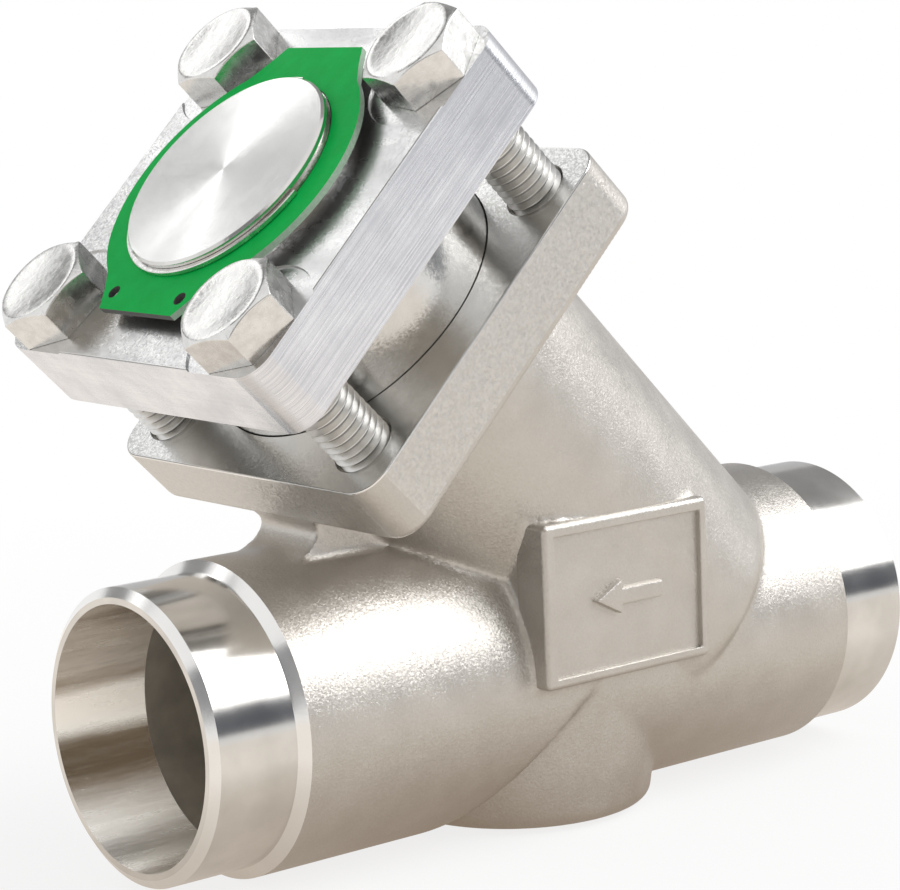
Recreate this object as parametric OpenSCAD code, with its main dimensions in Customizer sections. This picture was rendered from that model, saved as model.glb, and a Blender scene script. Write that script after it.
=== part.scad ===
// Straight-way lift non-return valve with butt-weld ends and a bonnet on a leaning neck.
// The origin is the centre of the inlet weld face. +X points out of the inlet, so the
// fluid runs towards -X, and +Z is up. The neck leans from the vertical towards the outlet.

/* [Weld ends] */
// Outside diameter of the pipe that is welded on
pipe_od = 48.3; // [44:0.1:52]
// Wall of that pipe at the weld
pipe_wall = 2.6; // [2:0.1:3.4]
// Length of each machined weld end, from its face to the shoulder
stub_len = 15.6; // [12:0.1:18]
// Width of the flat land at the weld face
land_w = 1; // [0.5:0.1:1.6]
// Angle of the weld bevel from the weld face
bevel_angle = 35; // [25:1:45]
// Depth of the machined bore inside each weld end
bore_depth = 17.4; // [12:0.1:22]

/* [Cast body] */
// From the crossing of pipe and neck to the inlet weld face
inlet_len = 41.6; // [38:0.1:55]
// From the crossing of pipe and neck to the outlet weld face
outlet_len = 111.7; // [104:0.1:130]
// Lean of the neck from the vertical
neck_lean = 45; // [42:1:48]
// Outer radius of the cast inlet and outlet branches
branch_r = 26; // [25.2:0.1:28]
// Radius of the cast flow way through the branches
way_r = 21; // [19:0.1:21.5]
// Wall of the neck barrel round the chamber
neck_wall = 4.2; // [3.5:0.1:6]
// Rounding at the closed lower end of the neck barrel
neck_round = 4; // [2:0.5:6]
// Thickness of the wall that carries the seat
seat_wall = 4.5; // [3.5:0.5:6]
// Radius of the hole in the seat
seat_r = 20; // [17:0.1:20.2]
// Width of the raised sealing face around that hole
seat_face_w = 2.6; // [2:0.1:3.2]
// Height of that sealing face above the wall
seat_lip = 2; // [1.5:0.1:3]

/* [Foot and rib] */
// How far the foot lies from the crossing, towards the outlet
foot_back = 32; // [28:0.5:36]
// Radius of the foot at its underside
foot_r = 23.3; // [20:0.1:24]
// Radius of the foot at the level of the pipe axis
foot_top_r = 25.6; // [25:0.1:26]
// Rounding of the foot's lower edge
foot_round = 2.2; // [1:0.1:3]
// How far the foot reaches below the branches
foot_proud = 0.1; // [0.1:0.1:3]
// Width of the rib between the flange and the outlet branch
rib_w = 16; // [8:0.5:20]

/* [Side panel] */
// Length of the raised panel along the pipe
panel_l = 36.4; // [30:0.1:40]
// Height of the panel
panel_h = 27.4; // [22:0.1:30]
// How far the panel stands out from the pipe axis
panel_out = 29.4; // [29:0.1:32]
// Width of the raised rim
panel_rim = 1.3; // [0.8:0.1:2]
// Height of the rim and of the arrow above the panel
panel_relief = 0.6; // [0.3:0.1:1]
// Length of the flow arrow
arrow_l = 15.5; // [10:0.5:20]

/* [Flange and bonnet] */
// From a bolt's axis to the side of the square flange and bonnet
plate_edge = 9.1; // [8.2:0.1:12]
// Corner radius of flange and bonnet
corner_r = 5; // [2:0.5:8]
// Thickness of the body flange
flange_t = 12.5; // [11:0.1:16]
// From the crossing to the top of the body flange, along the neck
flange_top = 90.6; // [88:0.1:100]
// Open gap between the flange and the bonnet plate
plate_gap = 14.8; // [8:0.1:18]
// Thickness of the bonnet plate
bonnet_t = 14.1; // [11:0.1:18]
// Radius of the spot face under each bolt head
spot_r = 11.8; // [10:0.1:13]
// Depth of the spot faces
spot_depth = 0.4; // [0.2:0.1:1]
// Radial clearance between the bonnet's collar and its recess
recess_play = 0.2; // [0.1:0.05:0.4]
// Depth of the collar's recess in the flange
recess_depth = 9.4; // [7:0.1:10.5]
// Thickness of the gasket
gasket_t = 1.8; // [1:0.1:2.5]
// Width of the ledge that the gasket lies on
gasket_w = 2.5; // [1.5:0.1:4]
// Radius of the boss on the bonnet
boss_r = 19.6; // [17:0.1:20.2]
// Height of the boss above the bonnet plate
boss_h = 5.1; // [4.4:0.1:8]
// Radius of the shoulder that carries the ring plate
shoulder_r = 22.2; // [21.4:0.1:23.4]
// Height of that shoulder
shoulder_h = 1.9; // [1:0.1:2.4]

/* [Ring plate] */
// Outer radius of the ring
ring_r = 25.3; // [24.2:0.1:26]
// Thickness of the ring plate
ring_t = 1.1; // [0.6:0.1:1.4]
// From the centre to the straight edge of each lobe
lobe_reach = 27.6; // [26.4:0.1:29]
// Width of each lobe at its straight edge
lobe_w = 20; // [14:0.5:24]
// Radius of the two sealing-wire holes
wire_hole_r = 1.2; // [0.8:0.1:1.6]
// Thickness of the snap ring
snap_t = 0.9; // [0.6:0.1:1.2]
// Angle that the open snap ring leaves free
snap_open = 92; // [20:1:120]
// Direction of that gap, from the up-slope side
snap_turn = 216; // [0:1:360]

/* [Bolts] */
// Thread radius of the bonnet bolts
bolt_r = 4.95; // [4:0.05:5.5]
// Metal between the collar's recess and each bolt
bolt_web = 4.3; // [3:0.1:7]
// Size of the hexagon across its flats
hex_af = 16; // [14:0.5:17]
// Height of the head
hex_h = 6.8; // [5:0.1:8]
// Chamfer at the tip of each bolt
tip_chamfer = 1; // [0.4:0.1:1.6]
// Radial clearance of the holes in the bonnet
bolt_play = 0.5; // [0.2:0.1:1]
// Turn of each head about its own axis: front, left, back and right
hex_turns = [44, 40, 51, 9];

/* [Valve cone] */
// How far the cone lifts off its seat
lift = 12; // [8:0.5:16]
// Width of the soft sealing ring
seal_w = 6.2; // [5:0.1:7]
// Thickness of the soft sealing ring
seal_t = 3; // [2:0.1:4]
// Thickness of the cone's disc above the sealing ring
disc_t = 5; // [3.5:0.1:7]
// Room between the cone's disc and the chamber wall
cone_room = 1.2; // [0.8:0.1:2]
// Radius of the cone's stem
stem_r = 14; // [12.5:0.1:14.4]
// Radius of the damping piston at the stem's upper end
piston_r = 15.95; // [15:0.05:17]
// Length of the damping piston
piston_l = 16; // [12:0.5:20]
// From the seat to the top of the piston
cone_h = 57.5; // [52:0.5:64]
// Bore radius of the hollow stem
stem_bore_r = 12; // [10.8:0.1:12]
// Height of the groove for the piston ring
ring_groove_h = 3.5; // [2:0.1:5]
// Depth of that groove
ring_groove_d = 2.1; // [1.2:0.1:3]
// From that groove to the top of the piston
ring_groove_from_top = 6.5; // [3:0.5:8]
// Radial clearance of the piston in its cylinder
piston_play = 0.1; // [0.05:0.01:0.1]
// Wall of the damping cylinder
cylinder_wall = 2.4; // [2:0.1:3.5]
// Length of the damping cylinder
cylinder_l = 62; // [56:0.5:64]

/* [Clamp screw] */
// Thread radius of the screw that holds the clamp plate
screw_r = 4; // [3:0.1:5]
// Size of its hexagon across the flats
screw_af = 13; // [10:0.5:14]
// Height of its head
screw_head_h = 5.3; // [4:0.1:6]
// Length of its shank above the clamp plate
screw_reach = 10; // [7:0.5:12]
// Radius of the lock washer
washer_r = 7; // [6:0.1:8]
// Thickness of the lock washer
washer_t = 1.6; // [1:0.1:2]
// Thickness of the clamp plate
clamp_t = 3; // [2:0.1:4]
// Room between the clamp plate and the wall of the seat
clamp_room = 1.6; // [1:0.1:3]

/* [Spring] */
// Radius of the spring wire
wire_r = 0.9; // [0.6:0.05:1.1]
// Radius of the coil at the middle of its wire
coil_r = 10; // [9.4:0.1:10.2]
// Number of turns
turns = 9; // [6:1:12]

/* [Hidden] */
$fn = 72;

stub_r = pipe_od / 2;
bore_r = stub_r - pipe_wall;
bevel_depth = (pipe_wall - land_w) * tan(bevel_angle);
shoulder_len = 1.2;
total_len = inlet_len + outlet_len;
big = 400;
eps = 0.02;

// Heights along the neck, measured from the crossing
neck_floor = 4;
chamber_floor = neck_floor + seat_wall;
seat_top = chamber_floor + seat_lip;
flange_bottom = flange_top - flange_t;
gasket_seat = flange_top - recess_depth;
collar_bottom = gasket_seat + gasket_t;
plate_bottom = flange_top + plate_gap;
plate_top = plate_bottom + bonnet_t;
spot_floor = plate_top - spot_depth;
boss_top = plate_top + boss_h;
ring_bottom = plate_top + shoulder_h;
ring_top = ring_bottom + ring_t;

mitre_h = 25;
foot_z = -branch_r - foot_proud;

// Cone, from its sealing face upwards
seal_gap = 0.02;
seal_bottom = seat_top + seal_gap;
seal_top = seal_bottom + seal_t;
seal_r = seat_r + 2.1;
seal_in_r = seal_r - seal_w;
disc_rim = 1.3;
disc_r = seal_r + disc_rim;
disc_top = seal_top + disc_t;
cone_top = seat_top + cone_h;
stem_floor = disc_top + 6;
cylinder_bore = piston_r + piston_play;
cylinder_out = cylinder_bore + cylinder_wall;
ceiling = plate_bottom + 1;
cylinder_bottom = ceiling - cylinder_l;
pin_r = coil_r - wire_r - 0.6;
head_bottom = seal_bottom - clamp_t - washer_t - screw_head_h;

// The chamber clears the cone, the collar and its gasket surround the chamber, and the
// bolts and the plate's sides follow outwards from there
chamber_r = disc_r + cone_room;
neck_r = chamber_r + neck_wall;
collar_r = chamber_r + gasket_w + 0.05;
recess_r = collar_r + recess_play;
bolt_spacing = sqrt(2) * (recess_r + bolt_web + bolt_r);
plate_w = bolt_spacing + 2 * plate_edge;

// Spring: its first and last part turns lie flat against the cone and the bonnet
coil_low = stem_floor + wire_r + 0.02;
coil_high = ceiling - wire_r - 0.02;
dead_turns = 0.75;
dead_rise = 2 * wire_r + 0.1;
live_rise = coil_high - coil_low - 2 * dead_turns * dead_rise;
all_turns = turns + 2 * dead_turns;

function coil_rise(t) =
    t < dead_turns ? t * dead_rise
    : t > dead_turns + turns ? coil_high - coil_low - (all_turns - t) * dead_rise
    : dead_turns * dead_rise + (t - dead_turns) / turns * live_rise;

// Places a shape in the neck's own frame: Z along the neck, X up the slope, Y across
module on_neck(h = 0) {
    translate([-inlet_len, 0, 0])
        rotate([0, -neck_lean, 0])
            translate([0, 0, h])
                children();
}

// Places a shape with its Z along the pipe, starting at x = 0 and running towards -X
module on_pipe() {
    rotate([0, -90, 0])
        children();
}

// Everything above height h along the neck
module above(h) {
    on_neck(h)
        translate([-big / 2, -big / 2, 0])
            cube(big);
}

// Everything below height h along the neck
module below(h) {
    on_neck(h)
        translate([-big / 2, -big / 2, -big])
            cube(big);
}

// Square with rounded corners, as a true outline
module rounded_square(w, r) {
    square([w - 2 * r, w], center = true);
    square([w, w - 2 * r], center = true);
    for (x = [-1, 1], y = [-1, 1])
        translate([x * (w / 2 - r), y * (w / 2 - r)])
            circle(r);
}

// The four bolt axes: front, left, back and right as seen from above the bonnet
function bolt_places() = [[-1, -1], [-1, 1], [1, 1], [1, -1]] * (bolt_spacing / 2);

module at_bolts() {
    for (p = bolt_places())
        translate(p)
            children();
}

// Weld end with its bevel and shoulder, and the cast branch behind it, up to length l
module branch_outline(l) {
    rotate_extrude()
        polygon([
            [0, 0],
            [bore_r + land_w, 0],
            [stub_r, bevel_depth],
            [stub_r, stub_len],
            [branch_r, stub_len + shoulder_len],
            [branch_r, l],
            [0, l]
        ]);
}

// Flow way from a weld face: machined bore, cast way, then a narrower throat
module way_outline(l, throat_from, throat_r) {
    translate([0, 0, -eps])
        cylinder(r = bore_r, h = bore_depth + eps);
    rotate_extrude()
        polygon([
            [0, bore_depth - eps],
            [way_r, bore_depth - eps],
            [way_r, throat_from],
            [throat_r, throat_from + 6],
            [throat_r, l],
            [0, l]
        ]);
}

module outlet_branch() {
    intersection() {
        translate([-total_len, 0, 0])
            rotate([0, 90, 0])
                branch_outline(outlet_len + 10);
        above(mitre_h);
    }
}

module inlet_branch() {
    on_pipe()
        branch_outline(inlet_len + foot_back - 2);
}

// Closed-ended barrel that carries the flange, with a small cast fillet under the flange
module neck_barrel() {
    arc = [for (a = [0:15:90]) [neck_r - neck_round * (1 - sin(a)), neck_floor + neck_round * (1 - cos(a))]];
    flare = [for (a = [0:15:90]) [neck_r + 3.4 - 3 * cos(a), flange_bottom - 3 * (1 - sin(a))]];
    on_neck()
        rotate_extrude()
            polygon(concat(
                [[0, neck_floor]],
                arc,
                flare,
                [[neck_r + 3.4, flange_bottom + 1], [0, flange_bottom + 1]]
            ));
}

module body_flange() {
    on_neck(flange_bottom)
        linear_extrude(flange_t)
            rounded_square(plate_w, corner_r);
}

// Upright foot under the seat, drafted and with a rounded lower edge
module foot_boss() {
    arc = [for (a = [0:15:90]) [foot_r - foot_round * (1 - sin(a)), foot_z + foot_round * (1 - cos(a))]];
    translate([-inlet_len - foot_back, 0, 0])
        rotate_extrude()
            polygon(concat([[0, foot_z]], arc, [[foot_top_r, 0], [0, 0]]));
}

// Rib under the flange's front edge, running down onto the outlet branch
module flange_rib() {
    front = [-plate_w / 2 + 1, flange_bottom];
    rib_x = (front[0] * cos(neck_lean) - front[1] * sin(neck_lean)) + 1.2;
    rib_z = front[1] * cos(neck_lean) + front[0] * sin(neck_lean);
    toe = [for (a = [0:15:90]) [rib_x - 3 + 3 * sin(a), branch_r - 2.4 + 3 * (1 - cos(a))]];
    translate([-inlet_len, rib_w / 2, 0])
        rotate([90, 0, 0])
            linear_extrude(rib_w)
                polygon(concat(
                    toe,
                    [[rib_x, rib_z + 1], [rib_x + 6, rib_z + 6], [rib_x + 16, branch_r + 6],
                     [rib_x + 16, branch_r - 4], [rib_x - 3, branch_r - 4]]
                ));
}

// Raised panel on the near side, with a rim and a flow arrow
module side_panel() {
    deep = panel_out - panel_relief;
    head = 6.2;
    shaft = 2.9;
    translate([-inlet_len - 49.4, 0, 1])
        rotate([90, 0, 0]) {
            translate([0, 0, branch_r - 8])
                linear_extrude(deep - branch_r + 8)
                    square([panel_l, panel_h]);
            translate([0, 0, deep - eps])
                linear_extrude(panel_relief + eps)
                    difference() {
                        square([panel_l, panel_h]);
                        translate([panel_rim, panel_rim])
                            square([panel_l - 2 * panel_rim, panel_h - 2 * panel_rim]);
                    }
            translate([panel_l * 0.29, panel_h * 0.485, deep - eps])
                linear_extrude(panel_relief + eps)
                    polygon([
                        [0, 0], [head, head / 2], [head, shaft / 2], [arrow_l, shaft / 2],
                        [arrow_l, -shaft / 2], [head, -shaft / 2], [head, -head / 2]
                    ]);
        }
}

// Outlet way: runs in from the outlet and stops at the upper face of the seat wall
module outlet_way() {
    intersection() {
        translate([-total_len, 0, 0])
            rotate([0, 90, 0])
                way_outline(outlet_len + 10, outlet_len - 58, way_r - 2.6);
        above(chamber_floor);
    }
}

// Inlet way: runs in from the inlet and stops at the lower face of the seat wall
module inlet_way() {
    intersection() {
        on_pipe()
            way_outline(inlet_len + foot_back, inlet_len - 8, way_r - 0.5);
        below(neck_floor);
    }
}

module housing() color([0.72, 0.7, 0.66]) {
    difference() {
        union() {
            outlet_branch();
            inlet_branch();
            neck_barrel();
            body_flange();
            foot_boss();
            flange_rib();
            side_panel();
        }
        outlet_way();
        inlet_way();
        on_neck(neck_floor - 1)
            cylinder(r = seat_r, h = seat_wall + 2);
        on_neck(chamber_floor)
            cylinder(r = chamber_r, h = gasket_seat - chamber_floor + eps);
        on_neck(gasket_seat)
            cylinder(r = recess_r, h = recess_depth + 1);
        on_neck(flange_bottom - 1)
            at_bolts()
                cylinder(r = bolt_r + 0.05, h = flange_t + 2);
    }
    on_neck(chamber_floor - eps)
        difference() {
            cylinder(r = seat_r + seat_face_w, h = seat_lip + eps);
            translate([0, 0, -1])
                cylinder(r = seat_r, h = seat_lip + 2);
        }
}

// Bonnet: square plate, collar that enters the flange, boss and groove on top
module bonnet() color([0.78, 0.78, 0.77]) {
    groove = ring_top + 0.05;
    on_neck() {
        difference() {
            union() {
                translate([0, 0, plate_bottom])
                    linear_extrude(bonnet_t)
                        rounded_square(plate_w, corner_r);
                rotate_extrude()
                    polygon([
                        [0, collar_bottom],
                        [collar_r - 0.6, collar_bottom],
                        [collar_r, collar_bottom + 0.6],
                        [collar_r, plate_bottom + 1],
                        [0, plate_bottom + 1]
                    ]);
                translate([0, 0, plate_top - 1])
                    cylinder(r = shoulder_r, h = shoulder_h + 1);
                rotate_extrude()
                    polygon([
                        [0, plate_top - 1],
                        [boss_r, plate_top - 1],
                        [boss_r, groove],
                        [boss_r - 1, groove],
                        [boss_r - 1, groove + snap_t + 0.1],
                        [boss_r, groove + snap_t + 0.1],
                        [boss_r, boss_top - 0.4],
                        [boss_r - 0.4, boss_top],
                        [0, boss_top]
                    ]);
            }
            translate([0, 0, collar_bottom - 1])
                cylinder(r = cylinder_out + 0.01, h = ceiling - collar_bottom + 1);
            translate([0, 0, plate_bottom - 1])
                at_bolts()
                    cylinder(r = bolt_r + bolt_play, h = bonnet_t + 2);
            translate([0, 0, spot_floor])
                at_bolts()
                    cylinder(r = spot_r, h = spot_depth + 1);
        }
        translate([0, 0, ceiling - 5])
            cylinder(r = pin_r, h = 6);
    }
}

module bonnet_gasket() color([0.25, 0.27, 0.28]) {
    on_neck(gasket_seat)
        difference() {
            cylinder(r = collar_r, h = gasket_t);
            translate([0, 0, -1])
                cylinder(r = chamber_r + 0.1, h = gasket_t + 2);
        }
}

// Sleeve held in the bonnet, in which the cone's piston slides
module damping_cylinder() color([0.66, 0.67, 0.68]) {
    on_neck(cylinder_bottom)
        difference() {
            cylinder(r = cylinder_out, h = cylinder_l);
            translate([0, 0, -1])
                cylinder(r = cylinder_bore, h = cylinder_l + 2);
        }
}

// Hexagon bolt through the bonnet into the flange, its head chamfered by a shallow cone
module bolt(place, turn) {
    circum_r = hex_af / sqrt(3);
    top_r = hex_af / 2 * 0.96;
    slope = tan(30);
    reach = circum_r + 1;
    shank = spot_floor - flange_bottom - 0.5;
    on_neck(spot_floor)
        translate([place[0], place[1], 0]) {
            intersection() {
                rotate([0, 0, turn])
                    cylinder(r = circum_r, h = hex_h, $fn = 6);
                rotate_extrude()
                    polygon([
                        [0, 0],
                        [reach, 0],
                        [reach, hex_h - (reach - top_r) * slope],
                        [top_r, hex_h],
                        [0, hex_h]
                    ]);
            }
            rotate_extrude()
                polygon([
                    [0, -shank],
                    [bolt_r - tip_chamfer, -shank],
                    [bolt_r, -shank + tip_chamfer],
                    [bolt_r, 1],
                    [0, 1]
                ]);
        }
}

module bolt_number(i) color([0.8, 0.8, 0.82]) {
    bolt(bolt_places()[i], 90 - hex_turns[i]);
}

// Ring plate with two lobes and two sealing-wire holes
module ring_plate() color([0.05, 0.5, 0.25]) {
    spread = 15;
    root = sqrt(ring_r * ring_r - spread * spread) - 0.1;
    on_neck(ring_bottom)
        linear_extrude(ring_t)
            difference() {
                union() {
                    circle(ring_r);
                    for (turn = [0, 180])
                        rotate(turn)
                            polygon([
                                [root - 3, -spread + 2], [root, -spread], [lobe_reach, -lobe_w / 2],
                                [lobe_reach, lobe_w / 2], [root, spread], [root - 3, spread - 2]
                            ]);
                }
                circle(boss_r + 0.1);
                for (s = [-1, 1])
                    translate([-lobe_reach + 3.4, s * (lobe_w / 2 - 0.8)])
                        circle(wire_hole_r);
            }
}

// Open snap ring in the groove above the ring plate
module snap_ring() color([0.8, 0.8, 0.8]) {
    gap_reach = boss_r + 8;
    on_neck(ring_top + 0.1)
        difference() {
            linear_extrude(snap_t)
                difference() {
                    circle(boss_r + 1);
                    circle(boss_r - 0.9);
                }
            rotate([0, 0, snap_turn])
                translate([0, 0, -1])
                    linear_extrude(snap_t + 2)
                        polygon([
                            [0, 0],
                            [gap_reach * cos(snap_open / 2), -gap_reach * sin(snap_open / 2)],
                            [gap_reach * 1.6, 0],
                            [gap_reach * cos(snap_open / 2), gap_reach * sin(snap_open / 2)]
                        ]);
        }
}

// Cone: disc with a rim round the soft ring, hollow stem and grooved damping piston
module valve_cone() color([0.7, 0.7, 0.7]) {
    piston_bottom = cone_top - piston_l;
    groove_high = cone_top - ring_groove_from_top;
    groove_low = groove_high - ring_groove_h;
    groove_r = piston_r - ring_groove_d;
    on_neck()
        difference() {
            rotate_extrude()
                polygon([
                    [0, seal_bottom + 0.4],
                    [seal_in_r - 0.05, seal_bottom + 0.4],
                    [seal_in_r - 0.05, seal_top],
                    [seal_r + 0.05, seal_top],
                    [seal_r + 0.05, seal_bottom + 0.7],
                    [disc_r - 0.3, seal_bottom + 0.7],
                    [disc_r, seal_bottom + 1.2],
                    [disc_r, disc_top - 1],
                    [disc_r - 1, disc_top],
                    [stem_r + 1.5, disc_top + 1],
                    [stem_r, disc_top + 3],
                    [stem_r, piston_bottom - 2],
                    [piston_r, piston_bottom],
                    [piston_r, groove_low],
                    [groove_r, groove_low],
                    [groove_r, groove_high],
                    [piston_r, groove_high],
                    [piston_r, cone_top - 0.5],
                    [piston_r - 0.5, cone_top],
                    [stem_bore_r, cone_top],
                    [stem_bore_r, stem_floor],
                    [0, stem_floor]
                ]);
            translate([0, 0, seal_bottom])
                cylinder(r = screw_r + 0.05, h = screw_reach + 1);
            translate([0, 0, stem_floor + 4])
                rotate([0, 90, 0])
                    cylinder(r = 1, h = stem_r + 2);
        }
}

// Split ring in the piston's groove
module piston_ring() color([0.9, 0.9, 0.86]) {
    ring_h = ring_groove_h - 0.2;
    on_neck(cone_top - ring_groove_from_top - ring_groove_h + 0.1)
        difference() {
            cylinder(r = piston_r + piston_play / 2, h = ring_h);
            translate([0, 0, -1])
                cylinder(r = piston_r - ring_groove_d + 0.1, h = ring_h + 2);
            translate([0, -0.4, -1])
                cube([piston_r + 5, 0.8, ring_h + 2]);
        }
}

module seal_ring() color([0.93, 0.93, 0.9]) {
    on_neck(seal_bottom)
        difference() {
            cylinder(r = seal_r, h = seal_t);
            translate([0, 0, -1])
                cylinder(r = seal_in_r, h = seal_t + 2);
        }
}

// Plate under the soft ring, dished on its flow side
module seal_clamp_plate() color([0.7, 0.7, 0.7]) {
    plate_r = seat_r - clamp_room;
    hole_r = screw_r + 0.2;
    on_neck()
        rotate_extrude()
            polygon([
                [hole_r, seal_bottom - clamp_t],
                [plate_r - clamp_t, seal_bottom - clamp_t],
                [plate_r, seal_bottom - clamp_t * 0.4],
                [plate_r, seal_bottom],
                [hole_r, seal_bottom]
            ]);
}

module lock_washer() color([0.6, 0.6, 0.62]) {
    on_neck(seal_bottom - clamp_t - washer_t)
        difference() {
            cylinder(r = washer_r, h = washer_t);
            translate([0, 0, -1])
                cylinder(r = screw_r + 0.1, h = washer_t + 2);
            rotate([0, 0, 40])
                translate([0, -0.5, -1])
                    cube([washer_r + 2, 1, washer_t + 2]);
        }
}

// Screw that holds the clamp plate to the cone, its head on the flow side
module clamp_screw() color([0.75, 0.75, 0.77]) {
    on_neck(head_bottom) {
        cylinder(r = screw_af / sqrt(3), h = screw_head_h, $fn = 6);
        cylinder(r = screw_r, h = seal_bottom + screw_reach - head_bottom);
    }
}

// Closing spring, a square-ended coil between the cone and the bonnet
module closing_spring() color([0.55, 0.56, 0.6]) {
    sides = 8;
    steps_per_turn = 16;
    last = round(all_turns * steps_per_turn);
    points = [for (i = [0:last], k = [0:sides - 1])
        let (t = i / steps_per_turn, a = 360 * t, b = 360 * k / sides, r = coil_r + wire_r * cos(b))
            [r * cos(a), r * sin(a), coil_low + coil_rise(t) + wire_r * sin(b)]];
    skin = [for (i = [0:last - 1], k = [0:sides - 1])
        let (n = (k + 1) % sides)
            [i * sides + k, i * sides + n, (i + 1) * sides + n, (i + 1) * sides + k]];
    start_cap = [[for (k = [sides - 1:-1:0]) k]];
    end_cap = [[for (k = [0:sides - 1]) last * sides + k]];
    on_neck()
        polyhedron(points, concat(skin, start_cap, end_cap));
}

housing();
bonnet();
bonnet_gasket();
damping_cylinder();
bolt_number(0);  // bolt_front
bolt_number(1);  // bolt_left
bolt_number(2);  // bolt_back
bolt_number(3);  // bolt_right
ring_plate();
snap_ring();
valve_cone();
piston_ring();
seal_ring();
seal_clamp_plate();
clamp_screw();
lock_washer();
closing_spring();
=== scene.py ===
import math

import bpy
from mathutils import Matrix, Vector


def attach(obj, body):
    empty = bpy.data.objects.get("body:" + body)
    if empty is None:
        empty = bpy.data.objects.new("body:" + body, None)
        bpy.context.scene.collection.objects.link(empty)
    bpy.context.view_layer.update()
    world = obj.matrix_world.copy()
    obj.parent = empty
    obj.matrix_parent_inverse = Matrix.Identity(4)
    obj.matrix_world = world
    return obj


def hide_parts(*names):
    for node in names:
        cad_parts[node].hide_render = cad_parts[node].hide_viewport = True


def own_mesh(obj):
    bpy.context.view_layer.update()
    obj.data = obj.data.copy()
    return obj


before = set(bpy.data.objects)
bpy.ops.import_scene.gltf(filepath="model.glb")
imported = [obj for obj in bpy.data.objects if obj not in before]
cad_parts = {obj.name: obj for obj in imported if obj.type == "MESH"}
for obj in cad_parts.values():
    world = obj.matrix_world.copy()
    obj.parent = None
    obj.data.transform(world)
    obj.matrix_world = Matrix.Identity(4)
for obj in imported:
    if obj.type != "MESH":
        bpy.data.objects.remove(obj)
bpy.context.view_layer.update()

mm = 0.001
crossingX = -41.6                     # where pipe and neck axes cross, from the inlet face
outletX = -153.3                      # outlet weld face
footX = -73.6                         # middle of the round foot
boltPlace = 25.9                      # of each bolt's axis from the neck's, both ways
neckLean = math.radians(-45)
neckFrame = Matrix.Translation((crossingX * mm, 0, 0)) @ Matrix.Rotation(neckLean, 4, "Y")
inletFrame = Matrix.Rotation(math.radians(90), 4, "Y")     # local Z out of the inlet
outletFrame = Matrix.Translation((outletX * mm, 0, 0)) @ Matrix.Rotation(math.radians(-90), 4, "Y")
footFrame = Matrix.Translation((footX * mm, 0, 0))
rowFrame = Matrix.Identity(4)
sideFrame = Matrix.Rotation(math.radians(90), 4, "X")      # stands an outline up in XZ, local Z to -Y


# Mesh helpers

def deselectAll():
    if bpy.context.mode != "OBJECT":
        bpy.ops.object.mode_set(mode="OBJECT")
    bpy.ops.object.select_all(action="DESELECT")


def activate(piece):
    deselectAll()
    piece.select_set(True)
    bpy.context.view_layer.objects.active = piece


def editAll(piece):
    activate(piece)
    bpy.ops.object.mode_set(mode="EDIT")
    bpy.ops.mesh.select_all(action="SELECT")


def closeEdit():
    bpy.ops.mesh.select_all(action="SELECT")
    bpy.ops.mesh.remove_doubles(threshold=0.0000005)
    bpy.ops.mesh.normals_make_consistent(inside=False)
    bpy.ops.object.mode_set(mode="OBJECT")


def putInPlace(piece, place):
    activate(piece)
    piece.matrix_world = place
    bpy.ops.object.transform_apply(location=True, rotation=True, scale=True)
    return piece


def applyModifier(piece, kind, **values):
    activate(piece)
    modifier = piece.modifiers.new(kind.title(), kind)
    for key, value in values.items():
        setattr(modifier, key, value)
    bpy.ops.object.modifier_apply(modifier=modifier.name)


def removePiece(piece):
    data = piece.data
    bpy.data.objects.remove(piece)
    bpy.data.meshes.remove(data)


def boolean(piece, tools, operation):
    # Applies each tool in turn and deletes it
    for tool in tools:
        applyModifier(piece, "BOOLEAN", operation=operation, solver="MANIFOLD", object=tool)
        removePiece(tool)


def easeEdges(piece, width, segments, angle=35):
    # Bevels every edge sharper than the angle
    applyModifier(piece, "BEVEL", width=width * mm, segments=segments, limit_method="ANGLE",
                  angle_limit=math.radians(angle), harden_normals=False)


def smoothBy(piece, angle):
    # Smooth shading that leaves the big flats flat
    activate(piece)
    bpy.ops.object.shade_smooth_by_angle(angle=math.radians(angle))
    applyModifier(piece, "WEIGHTED_NORMAL", mode="FACE_AREA", weight=50, keep_sharp=True)


def drawLine(name, start, steps):
    # One vertex goes to the start in mm and is extruded by each step; edit mode stays on
    deselectAll()
    bpy.ops.mesh.primitive_plane_add(size=mm)
    piece = bpy.context.object
    piece.name = piece.data.name = name
    editAll(piece)
    bpy.ops.mesh.merge(type="CENTER")
    bpy.ops.transform.translate(value=[c * mm for c in start])
    for step in steps:
        bpy.ops.mesh.extrude_vertices_move(TRANSFORM_OT_translate={"value": [c * mm for c in step]})
    return piece


def turned(name, profile, place, steps, angle=360):
    # A profile of (radius, height) in mm is drawn, then spun
    moves = [(r1 - r0, 0, z1 - z0) for (r0, z0), (r1, z1) in zip(profile, profile[1:])]
    piece = drawLine(name, (profile[0][0], 0, profile[0][1]), moves)
    bpy.ops.mesh.select_all(action="SELECT")
    bpy.ops.mesh.remove_doubles(threshold=0.0000005)
    bpy.ops.mesh.select_all(action="SELECT")
    if angle < 360:
        bpy.ops.mesh.edge_face_add()
    bpy.ops.mesh.spin(steps=steps, angle=math.radians(angle), center=(0, 0, 0), axis=(0, 0, 1))
    closeEdit()
    return putInPlace(piece, place)


def block(name, low, high):
    # A box between two corners in mm
    deselectAll()
    size = [(b - a) * mm for a, b in zip(low, high)]
    centre = [(a + b) / 2 * mm for a, b in zip(low, high)]
    bpy.ops.mesh.primitive_cube_add(size=1, location=centre)
    piece = bpy.context.object
    piece.name = piece.data.name = name
    piece.scale = size
    bpy.ops.object.transform_apply(location=True, rotation=True, scale=True)
    return piece


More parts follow.
